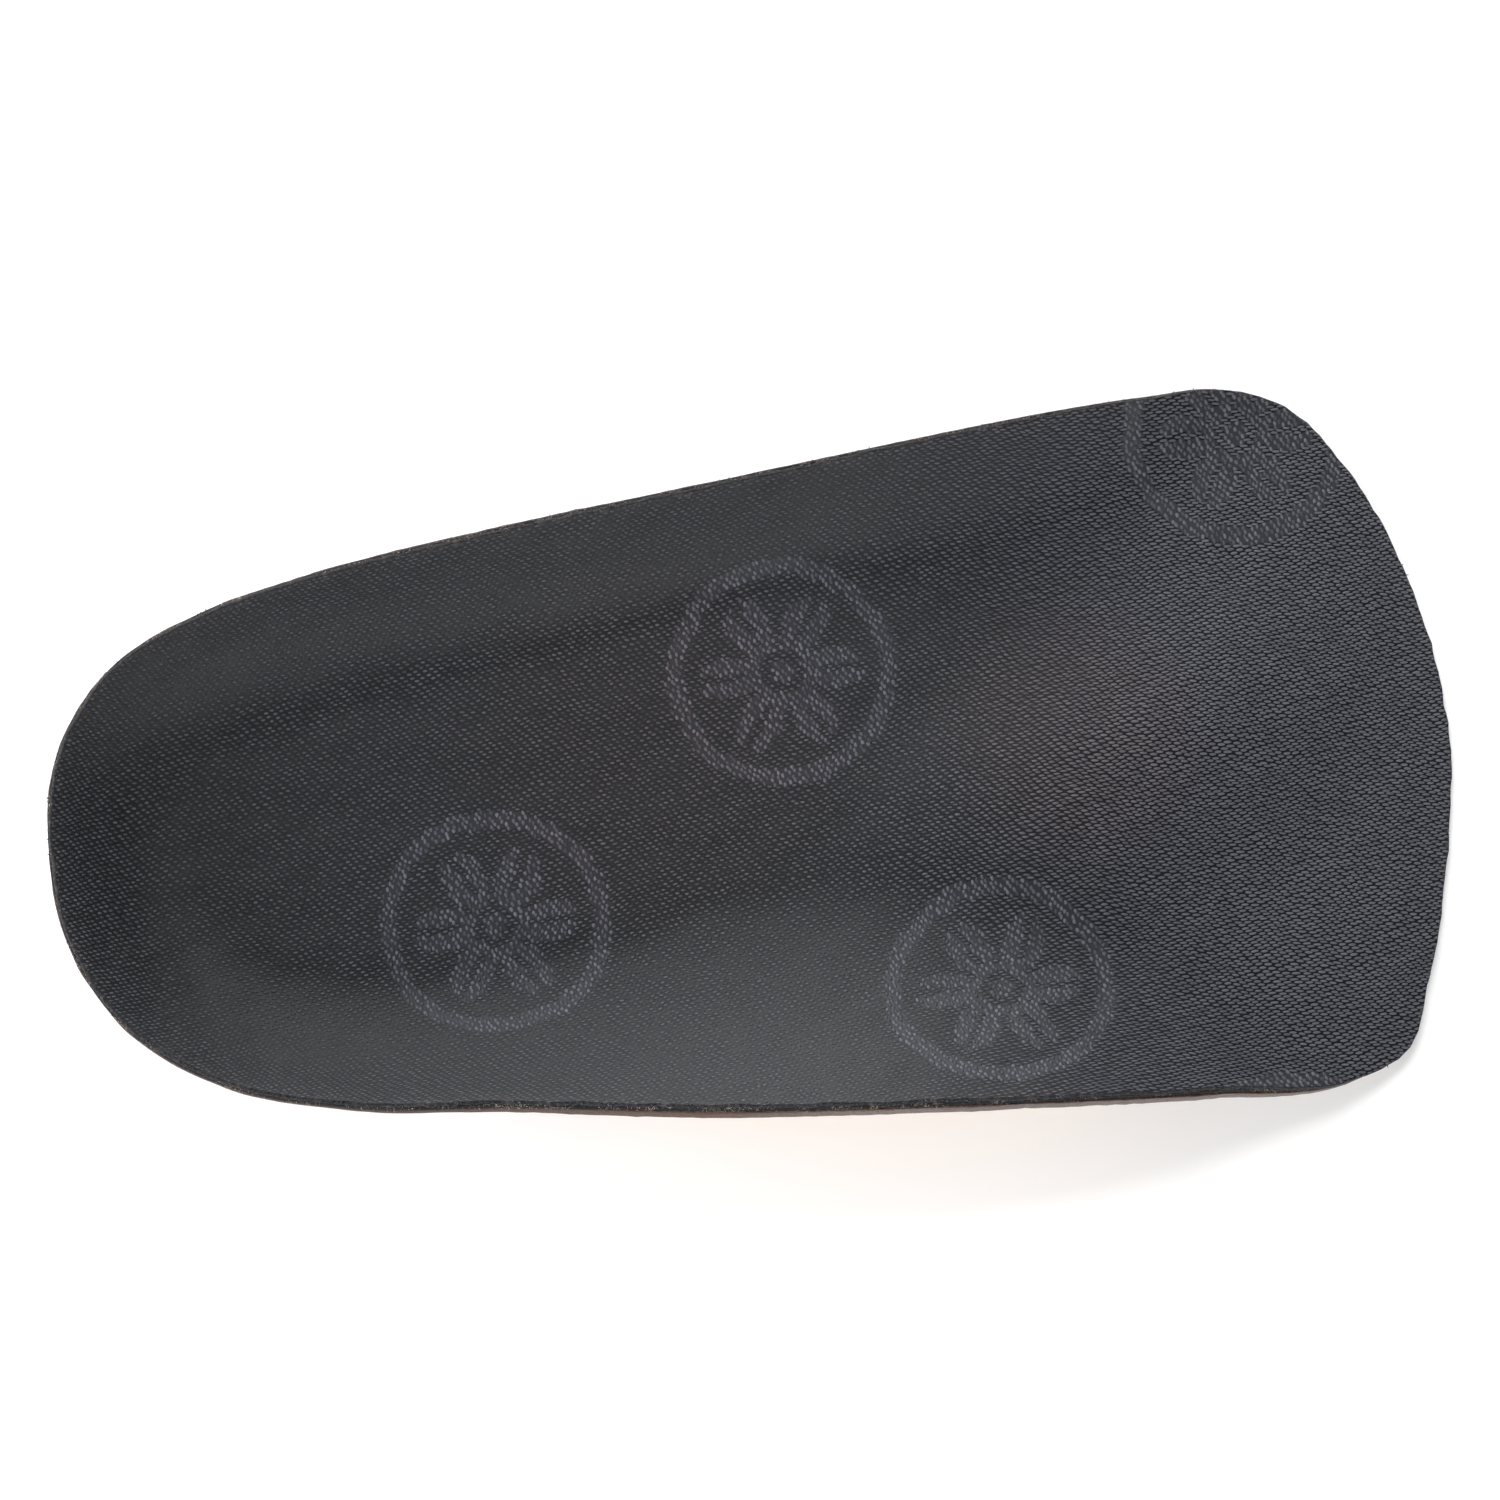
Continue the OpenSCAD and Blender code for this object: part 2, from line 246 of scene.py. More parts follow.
def compact(verts, faces, attrs):
    """Drops unused points and faces that have fallen to nothing."""
    clean = []
    for f in faces:
        g = [v for i, v in enumerate(f) if v != f[i - 1]]
        if len(set(g)) > 2:
            clean.append(g)
    used = sorted({v for f in clean for v in f})
    place = {v: i for i, v in enumerate(used)}
    return (verts[used], [[place[v] for v in f] for f in clean],
            {k: a[used] for k, a in attrs.items()})


SHIFT_RINGS = 4  # a shifted rim takes this many rings with it, less and less


def full_slab(name, net, upper, lower, bulge, steps, square, shift=None):
    """A closed sheet between two nets, with a rounded rim that bulges outwards.

    square is the power of the rim's rounding (2 is round), and shift moves the rim in or out.
    """
    K, S = net.K, net.S
    a, b = upper[0], lower[0]
    out = net.outward()
    mids = []
    for i in range(1, steps + 1):
        phi = math.pi * i / (steps + 1)
        c = math.copysign(abs(math.cos(phi)) ** (2 / square), math.cos(phi))
        q = math.sin(phi) ** (2 / square)
        mids.append((a + b) / 2 + (a - b) / 2 * c + out * bulge * q)
    rows = [upper[k] for k in range(K, -1, -1)] + mids + [lower[k] for k in range(K + 1)]
    cl = [net.cloth[k] for k in range(K, -1, -1)] + [net.cloth[0]] * steps
    cl += [net.cloth[k] for k in range(K + 1)]
    inset = [net.inset[k] for k in range(K, -1, -1)]
    inset += [np.full(S, -0.2 - i / (steps + 1)) for i in range(1, steps + 1)]
    inset += [net.inset[k] for k in range(K + 1)]
    if shift is not None:
        for i, r in enumerate(rows):
            k = K - i if i <= K else (0 if i <= K + steps else i - K - steps - 1)
            fade = max(0.0, 1 - k / SHIFT_RINGS)
            rows[i] = r + out * (shift * fade)[:, None]
    V = np.array(rows).reshape(-1, 3)
    A = np.concatenate([np.array(cl), np.array(inset)[..., None]], 2).reshape(-1, 3)
    R = len(rows)
    ids = np.arange(R * S).reshape(R, S)
    ids[0] = net.home
    ids[-1] = (R - 1) * S + net.home
    nxt = np.roll(ids, -1, 1)
    q = np.stack([ids[:-1], nxt[:-1], nxt[1:], ids[1:]], -1).reshape(-1, 4)
    v, f, at = compact(V, q.tolist(), {"cloth": A})
    return new_mesh(name, v, f, at)


def patch_slab(name, net, upper, lower, k0, k1, s0, s1, bevel):
    """A closed block between two nets, over rings k0 to k1 and stations s0 to s1."""
    cols = np.arange(s0, s1 + 1) % net.S
    U, L = upper[k0:k1 + 1][:, cols], lower[k0:k1 + 1][:, cols]
    C = net.cloth[k0:k1 + 1][:, cols]
    n, m = U.shape[:2]
    ids = np.arange(n * m).reshape(n, m)
    if k1 == net.K:
        first = {}
        for j in range(m):
            ids[-1, j] = ids[-1, first.setdefault(int(net.home[cols[j]]), j)]
    low = ids + n * m
    gone = np.linalg.norm(U - L, axis=2) < 1e-4
    low[gone] = ids[gone]
    faces = []
    for corners in ([ids[:-1, :-1], ids[1:, :-1], ids[1:, 1:], ids[:-1, 1:]],
                    [low[:-1, :-1], low[:-1, 1:], low[1:, 1:], low[1:, :-1]]):
        faces += np.stack(corners, -1).reshape(-1, 4).tolist()
    loop = [(ids[0, j], ids[0, j + 1], low[0, j + 1], low[0, j]) for j in range(m - 1)]
    if k1 < net.K:
        loop += [(ids[-1, j + 1], ids[-1, j], low[-1, j], low[-1, j + 1]) for j in range(m - 1)]
    loop += [(ids[i + 1, 0], ids[i, 0], low[i, 0], low[i + 1, 0]) for i in range(n - 1)]
    loop += [(ids[i, -1], ids[i + 1, -1], low[i + 1, -1], low[i, -1]) for i in range(n - 1)]
    faces += [list(map(int, f)) for f in loop]
    V = np.concatenate([U.reshape(-1, 3), L.reshape(-1, 3)])
    A = np.concatenate([C.reshape(-1, 2)] * 2)
    A = np.c_[A, V[:, 2]]
    v, f, at = compact(V, faces, {"cloth": A})
    ob = new_mesh(name, v, f, at)
    if bevel:
        mod = ob.modifiers.new("soft_edges", "BEVEL")
        mod.width, mod.segments = bevel * MM, 3
        mod.limit_method, mod.angle_limit = "ANGLE", math.radians(38)
    return ob


def fibres(name, roots, headings, lengths, radii, curl, sides, segs, seed):
    """Many short tapered threads in one mesh, each with a random tint."""
    g = np.random.default_rng(seed)
    n = len(roots)
    side = np.cross(headings, g.normal(size=(n, 3)))
    side /= np.linalg.norm(side, axis=1, keepdims=True)
    t = np.linspace(0, 1, segs + 1)
    bend = np.outer(curl, t ** 2)
    axis = (roots[:, None] + headings[:, None] * (lengths[:, None] * t)[..., None]
            + side[:, None] * (lengths[:, None] * bend)[..., None])
    other = np.cross(headings, side)
    ang = np.arange(sides) * 2 * math.pi / sides
    rad = radii[:, None] * (1 - 0.65 * t ** 3)[None]
    ringv = (side[:, None, None] * np.cos(ang)[None, None, :, None]
             + other[:, None, None] * np.sin(ang)[None, None, :, None])
    V = axis[:, :, None] + ringv * rad[:, :, None, None]
    ids = np.arange(V[..., 0].size).reshape(n, segs + 1, sides)
    a, b = ids[:, :-1], ids[:, 1:]
    quads = np.stack([a, np.roll(a, -1, 2), np.roll(b, -1, 2), b], -1).reshape(-1, 4)
    caps = [list(r[::-1]) for r in ids[:, 0].tolist()] + ids[:, -1].tolist()
    tint = np.repeat(g.random((n, 1)), (segs + 1) * sides, 1).reshape(-1)
    attr = np.c_[tint, tint, tint]
    return new_mesh(name, V.reshape(-1, 3), quads.tolist() + caps, {"tint": attr})


# ---------------------------------------------------------------- material helpers
class Tree:
    """Short forms for building a material's nodes."""

    def __init__(self, name):
        self.mat = bpy.data.materials.new(name)
        self.mat.use_nodes = True
        self.nt = self.mat.node_tree
        self.nt.nodes.clear()
        self.out = self.nt.nodes.new("ShaderNodeOutputMaterial")
        self.bsdf = self.nt.nodes.new("ShaderNodeBsdfPrincipled")
        self.nt.links.new(self.bsdf.outputs[0], self.out.inputs[0])

    def put(self, socket, value):
        if isinstance(value, bpy.types.NodeSocket):
            self.nt.links.new(value, socket)
        elif value is not None:
            socket.default_value = value

    def node(self, kind, out=0, inputs=None, **props):
        n = self.nt.nodes.new(kind)
        for k, v in props.items():
            setattr(n, k, v)
        for k, v in (inputs or {}).items():
            self.put(n.inputs[k], v)
        return n.outputs[out]

    def m(self, op, a, b=None, c=None):
        n = self.nt.nodes.new("ShaderNodeMath")
        n.operation = op
        for i, v in enumerate((a, b, c)):
            self.put(n.inputs[i], v)
        return n.outputs[0]

    def add(self, a, b):
        return self.m("ADD", a, b)

    def sub(self, a, b):
        return self.m("SUBTRACT", a, b)

    def mul(self, a, b):
        return self.m("MULTIPLY", a, b)

    def vector(self, op, a, b=None, out=0):
        return self.node("ShaderNodeVectorMath", out, {0: a, 1: b}, operation=op)

    def place(self):
        """The point in the object's own frame, in metres."""
        return self.node("ShaderNodeTexCoord", 3)

    def attr(self, name):
        return self.node("ShaderNodeAttribute", 1, attribute_name=name)

    def split(self, v):
        n = self.nt.nodes.new("ShaderNodeSeparateXYZ")
        self.put(n.inputs[0], v)
        return n.outputs

    def join(self, x=0.0, y=0.0, z=0.0):
        return self.node("ShaderNodeCombineXYZ", 0, {0: x, 1: y, 2: z})

    def noise(self, v, scale, detail=2.0, rough=0.5):
        return self.node("ShaderNodeTexNoise", 0,
                         {"Vector": v, "Scale": scale, "Detail": detail, "Roughness": rough})

    def cells(self, v, scale, feature="F1", out=0):
        return self.node("ShaderNodeTexVoronoi", out, {"Vector": v, "Scale": scale}, feature=feature)

    def span(self, x, a, b, lo=0.0, hi=1.0, smooth=True):
        return self.node("ShaderNodeMapRange", 0, {0: x, 1: a, 2: b, 3: lo, 4: hi},
                         interpolation_type="SMOOTHSTEP" if smooth else "LINEAR")

    def blend(self, t, a, b):
        n = self.nt.nodes.new("ShaderNodeMix")
        n.data_type = "RGBA"
        self.put(n.inputs[0], t)
        for i, v in ((6, a), (7, b)):
            self.put(n.inputs[i], (*v, 1.0) if isinstance(v, tuple) else v)
        return n.outputs[2]

    def bump(self, height, distance, strength):
        return self.node("ShaderNodeBump", 0,
                         {"Strength": strength, "Distance": distance, "Height": height})

    def finish(self, **sockets):
        for k, v in sockets.items():
            self.put(self.bsdf.inputs[k.replace("_", " ")],
                     (*v, 1.0) if isinstance(v, tuple) and len(v) == 3 else v)
        return self.mat


# The weave repeats on a skewed lattice: cycles per mm along the two lattice directions
WEAVE = ((0.529, -1.687), (0.958, 0.882))
MOTIF_R = 14.7
RING_W, PETAL_GAP = 2.3, 4.0  # width of the motif's ring, and its gap to the petals' tips
EYE_R, VEIN_FROM, PETAL_FROM = 1.5, 4.2, 2.6


def floats(T, u, v, tilt, long, wide, jitter):
    """Thread floats on the skewed lattice, each a rounded dash.

    long and wide are the dash's half sizes and jitter its scatter, in mm. Gives the height, a random
    number per dash, and the middle of its lattice place.
    """
    (a, b), (c, d) = WEAVE
    det = a * d - b * c
    p = T.add(T.mul(u, a), T.mul(v, b))
    q = T.add(T.mul(u, c), T.mul(v, d))
    pi, qi = T.m("ROUND", p), T.m("ROUND", q)
    chance = T.node("ShaderNodeTexWhiteNoise", 1, {"Vector": T.join(pi, qi)}, noise_dimensions="3D")
    c1, c2, c3 = T.split(chance)[:]
    cu = T.sub(T.mul(pi, d / det), T.mul(qi, b / det))
    cv = T.sub(T.mul(qi, a / det), T.mul(pi, c / det))
    du = T.add(T.sub(u, cu), T.mul(T.sub(c1, 0.5), jitter))
    dv = T.add(T.sub(v, cv), T.mul(T.sub(c2, 0.5), jitter))
    e = T.add(T.mul(du, math.cos(tilt) / long), T.mul(dv, math.sin(tilt) / long))
    f = T.sub(T.mul(dv, math.cos(tilt) / wide), T.mul(du, math.sin(tilt) / wide))
    far = T.add(T.mul(e, e), T.mul(f, f))
    return T.span(far, 1.0, 0.0), c3, cu, cv


def medallion(T, u, v, centre):
    """Where the raised threads lie in one round motif: a plain ring round a six-petal rosette."""
    x = T.sub(u, centre[0])
    y = T.sub(v, centre[1])
    r = T.m("SQRT", T.add(T.mul(x, x), T.mul(y, y)))
    t = T.m("ARCTAN2", y, x)
    ring = T.mul(T.m("GREATER_THAN", r, MOTIF_R - RING_W), T.m("LESS_THAN", r, MOTIF_R))
    petal = T.mul(T.m("POWER", T.m("ABSOLUTE", T.m("COSINE", T.mul(t, 3.0))), 0.45),
                  MOTIF_R - PETAL_GAP)
    vein = T.m("GREATER_THAN", T.m("ABSOLUTE", T.m("SINE", T.mul(t, 3.0))), 0.16)
    inner = T.m("MAXIMUM", vein, T.m("LESS_THAN", r, VEIN_FROM))
    body = T.mul(T.m("LESS_THAN", r, petal), T.m("GREATER_THAN", r, PETAL_FROM))
    flower = T.mul(body, inner)
    return T.m("MAXIMUM", ring, T.m("MAXIMUM", flower, T.m("LESS_THAN", r, EYE_R)))


# In cloth millimetres: the middles of the motifs, and the faintly warmer patches (middle, reach)
WARM_PATCHES = [((44.0, 8.0), 34.0), ((97.0, 5.0), 24.0)]
WANDER = 1.6  # how far the threads stray, in mm
MOTIFS = [(22.0, -12.0), (61.2, 16.2), (84.3, -27.4), (122.5, 42.0), (159.0, -14.5), (120.5, -56.0)]


def fabric_material():
    """Black woven cover: dots at the heel, dashes at the front, raised floats in the motifs; its colour
    paints highlights on the float tops and shadow in the gaps between them.
    """
    T = Tree("woven_cover")
    u0, v0, inset = T.split(T.attr("cloth"))[:]
    flat = T.join(u0, v0, 0.0)
    # Slow wander of the threads
    wob = T.node("ShaderNodeTexNoise", 1, {"Vector": flat, "Scale": 0.12, "Detail": 2.0})
    wu, wv, _ = T.split(wob)[:]
    u = T.add(u0, T.mul(T.sub(wu, 0.5), WANDER))
    v = T.add(v0, T.mul(T.sub(wv, 0.5), WANDER))
    dot, c1, cu, cv = floats(T, u, v, 0.0, 0.36, 0.18, 0.14)
    dash, c2, _, _ = floats(T, u, v, math.radians(-3), 0.58, 0.19, 0.11)
    raised, c4, _, _ = floats(T, u, v, math.radians(-78), 0.42, 0.26, 0.36)
    fore = T.span(u0, 62.0, 120.0)
    mask = None
    for centre in MOTIFS:
        one = medallion(T, cu, cv, centre)
        mask = one if mask is None else T.m("MAXIMUM", mask, one)
    pile = T.noise(flat, 7.0, 3.0, 0.65)
    patchy = T.noise(flat, 0.35, 3.0, 0.6)
    plain = T.m("MULTIPLY_ADD", fore, T.sub(dash, dot), dot)
    height = T.m("MULTIPLY_ADD", mask, T.sub(T.add(raised, 0.3), plain), plain)
    rough_pile = T.mul(T.sub(pile, 0.5), 0.5)
    # Where the floats are painted as lit (painted highlight) and where the gaps are painted in shadow
    lit_float_mask = T.span(T.add(plain, rough_pile), T.m("MULTIPLY_ADD", fore, -0.07, 0.10),
                   T.m("MULTIPLY_ADD", fore, -0.12, 0.62))
    # Colours: painted shadow between the floats (low), a painted highlight with a random tone on their
    # tops (high), and a lighter thread on the raised ones
    low = T.blend(fore, (0.004, 0.0045, 0.006), (0.006, 0.006, 0.0075))
    high = T.blend(c1, (0.026, 0.028, 0.037), (0.080, 0.085, 0.106))
    high = T.blend(fore, high, T.blend(c2, (0.056, 0.060, 0.076), (0.090, 0.096, 0.118)))
    light = T.blend(T.span(T.add(raised, rough_pile), 0.10, 0.62), (0.014, 0.0145, 0.019),
                    T.blend(c4, (0.036, 0.039, 0.050), (0.110, 0.115, 0.142)))
    colour = T.blend(mask, T.blend(lit_float_mask, low, high), light)
    sunk = T.mul(T.mul(fore, T.sub(1.0, lit_float_mask)), T.sub(1.0, mask))
    # Faintly warmer patches in the colour, in two round areas
    warm_patch = T.m("MAXIMUM", *[T.span(T.vector("DISTANCE", flat, (*middle, 0.0), out=1), reach, 6.0)
                             for middle, reach in WARM_PATCHES])
    warm_patch = T.mul(warm_patch, T.span(patchy, 0.3, 0.7, 0.5, 1.0))
    colour = T.vector("MULTIPLY", colour, T.blend(warm_patch, (1.0, 1.0, 1.0), (1.22, 0.98, 0.93)))
    # The cut rim has a negative inset and shows thread ends instead of the weave
    cut = T.span(inset, -0.01, -0.16)
    ends = T.noise(T.join(T.mul(u0, 3.2), T.mul(v0, 3.2), T.mul(inset, 5.0)), 1.0, 3.0, 0.6)
    ends_colour = T.blend(T.span(ends, 0.35, 0.7), (0.003, 0.003, 0.004), (0.038, 0.038, 0.043))
    colour = T.blend(cut, colour, ends_colour)
    height = T.m("MULTIPLY_ADD", cut, T.sub(ends, height), height)
    # A lighter tan band along the rim: partly wear, partly a painted highlight on the rounded edge
    wear_and_highlight = T.mul(T.span(inset, 1.1, 0.0), T.span(T.noise(flat, 1.1, 3.0), 0.5, 0.75))
    colour = T.blend(T.mul(wear_and_highlight, 0.3), colour, (0.13, 0.105, 0.09))
    normal = T.bump(T.add(height, T.mul(pile, 0.3)), 0.00016, 0.9)
    rough = T.span(c1, 0.0, 1.0, 0.46, 0.60, smooth=False)
    return T.finish(Base_Color=colour, Roughness=rough, Normal=normal, Sheen_Weight=0.05,
                    Sheen_Roughness=0.5,
                    Specular_IOR_Level=T.m("MULTIPLY_ADD", T.m("MAXIMUM", sunk, cut), -0.28, 0.36))


def foam_material(name, dark, light, pore, rough=0.85):
    """Foam with pores of the given size in mm."""
    T = Tree(name)
    at = T.place()
    big = T.cells(at, 1 / (pore * MM))
    small = T.noise(at, 2.5 / (pore * MM), 4.0, 0.7)
    holes = T.mul(T.span(big, 0.16, 0.34), T.span(small, 0.3, 0.6, 0.6, 1.0))
    tint = T.noise(at, 90.0, 3.0)
    body = T.blend(T.span(tint, 0.35, 0.65), dark, light)
    # The pores are painted much darker than the body: painted shade inside the holes
    colour = T.blend(holes, tuple(c * 0.35 for c in dark), body)
    normal = T.bump(T.add(holes, T.mul(small, 0.4)), pore * 0.35 * MM, 0.7)
    return T.finish(Base_Color=colour, Roughness=rough, Normal=normal, Specular_IOR_Level=0.3)


def leather_material():
    """Grained brown leather with a raw cut rim, painted lighter along the arch as a painted reflection
    of the pale floor.
    """
    T = Tree("base_leather")
    at = T.place()
    u, v, inset = T.split(T.attr("cloth"))[:]
    warp = T.noise(at, 300.0, 2.0)
    bent = T.vector("ADD", at, T.join(T.mul(warp, 0.0008), T.mul(warp, 0.0006)))
    grain = T.cells(bent, 1150.0, "DISTANCE_TO_EDGE")
    pits = T.noise(at, 2600.0, 3.0, 0.6)
    cloud = T.noise(at, 38.0, 4.0, 0.6)
    brown = T.blend(T.span(cloud, 0.3, 0.7), (0.115, 0.058, 0.036), (0.205, 0.112, 0.070))
    crease = T.span(grain, 0.0, 0.16)
    # The grain's creases are painted darker: painted shade in the creases
    brown = T.blend(crease, (0.055, 0.028, 0.018), brown)
    scuff = T.mul(T.span(T.noise(at, 420.0, 4.0, 0.7), 0.58, 0.72), T.span(cloud, 0.45, 0.7))
    brown = T.blend(T.mul(scuff, 0.5), brown, (0.33, 0.22, 0.16))
    fibre = T.noise(T.join(T.mul(u, 2.2), T.mul(v, 2.2), T.mul(inset, 9.0)), 1.0, 4.0, 0.65)
    # Along the arch side the cut rim gets a lighter colour: a painted reflection of the pale floor on
    # its bevel
    side = T.mul(T.span(u, 45.0, 75.0), T.m("LESS_THAN", v, 0.0))
    raw = T.blend(side, T.blend(fibre, (0.030, 0.017, 0.013), (0.11, 0.075, 0.060)),
                  T.blend(fibre, (0.080, 0.062, 0.056), (0.155, 0.125, 0.115)))
    raw = T.blend(T.span(inset, -0.42, -0.20), raw, (0.075, 0.040, 0.028))
    edge = T.span(inset, 0.12, -0.12)
    colour = T.blend(edge, brown, raw)
    height = T.add(T.mul(crease, 0.7), T.mul(pits, 0.5))
    normal = T.bump(height, 0.00012, 0.6)
    rough = T.span(cloud, 0.3, 0.7, 0.42, 0.6)
    return T.finish(Base_Color=colour, Roughness=rough, Normal=normal, Specular_IOR_Level=0.4)


def cork_material():
    """Pressed cork: tinted granules with dark seams."""
    T = Tree("cork")
    at = T.place()
    warp = T.node("ShaderNodeTexNoise", 1, {"Vector": at, "Scale": 500.0, "Detail": 2.0})
    bent = T.vector("ADD", at, T.node("ShaderNodeVectorMath", 0, {0: warp, "Scale": 0.0009},
                                      operation="SCALE"))
    pick = T.cells(bent, 620.0, out=1)
    seam = T.cells(bent, 620.0, "DISTANCE_TO_EDGE")
    grain = T.blend(T.split(pick)[0], (0.27, 0.145, 0.062), (0.58, 0.365, 0.185))
    speck = T.span(T.cells(at, 1500.0), 0.12, 0.3)
    fleck = T.blend(speck, (0.10, 0.045, 0.02), grain)
    colour = T.blend(T.span(seam, 0.0, 0.10), (0.13, 0.065, 0.03), fleck)
    fine = T.noise(at, 3000.0, 3.0, 0.6)
    height = T.add(T.mul(T.span(seam, 0.0, 0.14), 0.8), T.mul(fine, 0.4))
    normal = T.bump(T.add(height, T.mul(speck, 0.3)), 0.00025, 0.8)
    return T.finish(Base_Color=colour, Roughness=0.82, Normal=normal, Specular_IOR_Level=0.25)


def rubber_material(name, dark, light, rough=0.6):
    T = Tree(name)
    at = T.place()
    fine = T.noise(at, 2200.0, 4.0, 0.6)
    cloud = T.noise(at, 60.0, 3.0)
    dust = T.span(T.noise(at, 700.0, 4.0, 0.7), 0.56, 0.75)
    colour = T.blend(T.span(cloud, 0.3, 0.7), dark, light)
    colour = T.blend(T.mul(dust, 0.12), colour, (0.3, 0.29, 0.27))
    normal = T.bump(fine, 0.00006, 0.6)
    return T.finish(Base_Color=colour, Roughness=rough, Normal=normal, Specular_IOR_Level=0.4)


def shell_material():
    T = Tree("shell_plastic")
    at = T.place()
    orange = T.noise(at, 900.0, 2.0)
    cloud = T.noise(at, 25.0, 3.0)
    colour = T.blend(T.span(cloud, 0.3, 0.7), (0.60, 0.58, 0.52), (0.74, 0.72, 0.66))
    fleck = T.span(T.cells(at, 800.0), 0.05, 0.16)
    colour = T.blend(fleck, (0.35, 0.33, 0.30), colour)
    return T.finish(Base_Color=colour, Roughness=0.48, Normal=T.bump(orange, 0.00008, 0.35),
                    Specular_IOR_Level=0.45)


def thread_material(name, dark, light):
    T = Tree(name)
    tint = T.split(T.attr("tint"))[0]
    twist = T.noise(T.place(), 5200.0, 2.0)
    colour = T.blend(tint, dark, light)
    normal = T.bump(twist, 0.00003, 0.5)
    return T.finish(Base_Color=colour, Roughness=0.7, Normal=normal, Sheen_Weight=0.15)


# ---------------------------------------------------------------- pieces
def dress(ob, node, material):
    """Gives a piece its material and body, and hides the CAD node that it stands for."""
    ob.data.materials.append(material)
    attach(ob, "root")
    if node:
        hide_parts(node)
    return ob


def rim_walk(net):
    """Distance along the rim at each station, and the whole way round."""
    d = np.linalg.norm(np.diff(np.vstack([net.edge, net.edge[:1]]), axis=0), axis=1)
    return np.r_[0, np.cumsum(d)[:-1]], d.sum()


net = Net(4, 5)
walk, around = rim_walk(net)
turn = walk / around
loop_xy = np.c_[np.cos(2 * math.pi * turn), np.sin(2 * math.pi * turn)] * around / (2 * math.pi)


def trim(seed, size, amount):
    """A hand-cut edge: how far a layer's rim strays in or out, in mm."""
    return ripple(loop_xy, seed, size) * amount


# 1 along the arch side, where the base shows below the cover, 0 elsewhere
edge_x = net.edge[:, 0]
arch_part = (1 - net.outer) * ease((edge_x - 15) / 30) * (1 - ease((edge_x - 118) / 14))
top = net.top + net.up * (0.05 * ripple(net.cloth, 3, 9.0))[..., None]
under_cover = net.sheet(1, -0.02)
# Round the heel the cover hides the layers below it
cover_out = (0.2 * (1 - arch_part) * (1 - ease(edge_x / 20))
             + trim(11, 6.0, 0.08) + trim(12, 1.6, 0.07))
cover = dress(full_slab("cover_fabric", net, top, under_cover, 0.14, 5, 2.4, cover_out),
              "top_cover", fabric_material())

foam_mat = foam_material("black_foam", (0.012, 0.012, 0.013), (0.024, 0.024, 0.026), 0.22)
coarse = Net(3, 3)
foam = dress(full_slab("cushion_foam", coarse, coarse.sheet(1), coarse.sheet(2), 0.1, 3, 2.6),
             "cushion_layer", foam_mat)
leather_out = mix(mix(-0.36, -0.1, ease((edge_x - 112) / 14)), 0.22, arch_part)
leather_out = leather_out + trim(21, 12.0, 0.06) + trim(22, 3.0, 0.04)
dress(full_slab("base_leather", net, net.sheet(4), net.sheet(5), 0.16, 5, 3.0, leather_out),
      "base_cover", leather_material())


THINNEST = 0.004  # mm; a pad or shell thinner than this has ended


def masked_slab(name, n, upper, lower, thick):
    """A closed solid over the part of the net where thick is more than nothing."""
    K, S = n.K, n.S
    ids = np.arange((K + 1) * S).reshape(K + 1, S)
    ids[-1] = K * S + n.home
    low = ids + (K + 1) * S
    bare = thick < THINNEST
    low[bare] = ids[bare]
    live, ids_next, low_next = ~bare, np.roll(ids, -1, 1), np.roll(low, -1, 1)
    live_next = np.roll(live, -1, 1)
    keep = (live[:-1] | live[1:] | live_next[:-1] | live_next[1:]).ravel()
    a = np.stack([ids[:-1], ids[1:], ids_next[1:], ids_next[:-1]], -1).reshape(-1, 4)[keep]
    b = np.stack([low[:-1], low_next[:-1], low_next[1:], low[1:]], -1).reshape(-1, 4)[keep]
    V = np.concatenate([upper.reshape(-1, 3), lower.reshape(-1, 3)])
    C = np.concatenate([n.cloth.reshape(-1, 2)] * 2)
    v, f, at = compact(V, a.tolist() + b.tolist(), {"cloth": np.c_[C, V[:, 2]]})
    return new_mesh(name, v, f, at)


dress(masked_slab("shell_core", coarse, coarse.sheet(3), coarse.sheet(4),
                  coarse.depth(4) - coarse.depth(3)),
      "arch_shell", shell_material())
pad = dress(masked_slab("dome_pad", coarse, coarse.sheet(2), coarse.sheet(2, coarse.dome_pad()),
                        coarse.dome_pad()),
            "metatarsal_pad",
            foam_material("pad_foam", (0.42, 0.31, 0.18), (0.56, 0.44, 0.28), 0.35, 0.9))
dress(masked_slab("shock_pad", coarse, coarse.sheet(2), coarse.sheet(2, coarse.heel_pad()),
                  coarse.heel_pad()),
      "heel_pad",
      rubber_material("shock_rubber", (0.03, 0.09, 0.22), (0.06, 0.15, 0.34), 0.45))

# Cork wedge under the arch: its lower face is ground to a shallow boat shape
m = net.m
belly = net.sheet(5)
per = len(net.ring) // (len(RINGS) - 1)
WEDGE_START, WEDGE_END = (HEEL_N + SIDE_N + FRONT_N + 2) * m, net.S - 7 * m
WEDGE_CLEAR, WEDGE_LEAN, BOAT_POWER = 0.6, 0.28, 0.4
along_wedge = clip((np.arange(net.S) - WEDGE_START) / (WEDGE_END - WEDGE_START))
wedge_h = (np.sin(math.pi * along_wedge) ** BOAT_POWER)[None] * (belly[..., 2] - WEDGE_CLEAR)
wedge_low = np.stack([belly[..., 0], belly[..., 1] + WEDGE_LEAN * wedge_h,
                      belly[..., 2] - wedge_h], -1)
dress(patch_slab("filler_cork", net, belly, wedge_low, 2 * per, 6 * per,
                 WEDGE_START, WEDGE_END, 0.5),
      "arch_filler", cork_material())

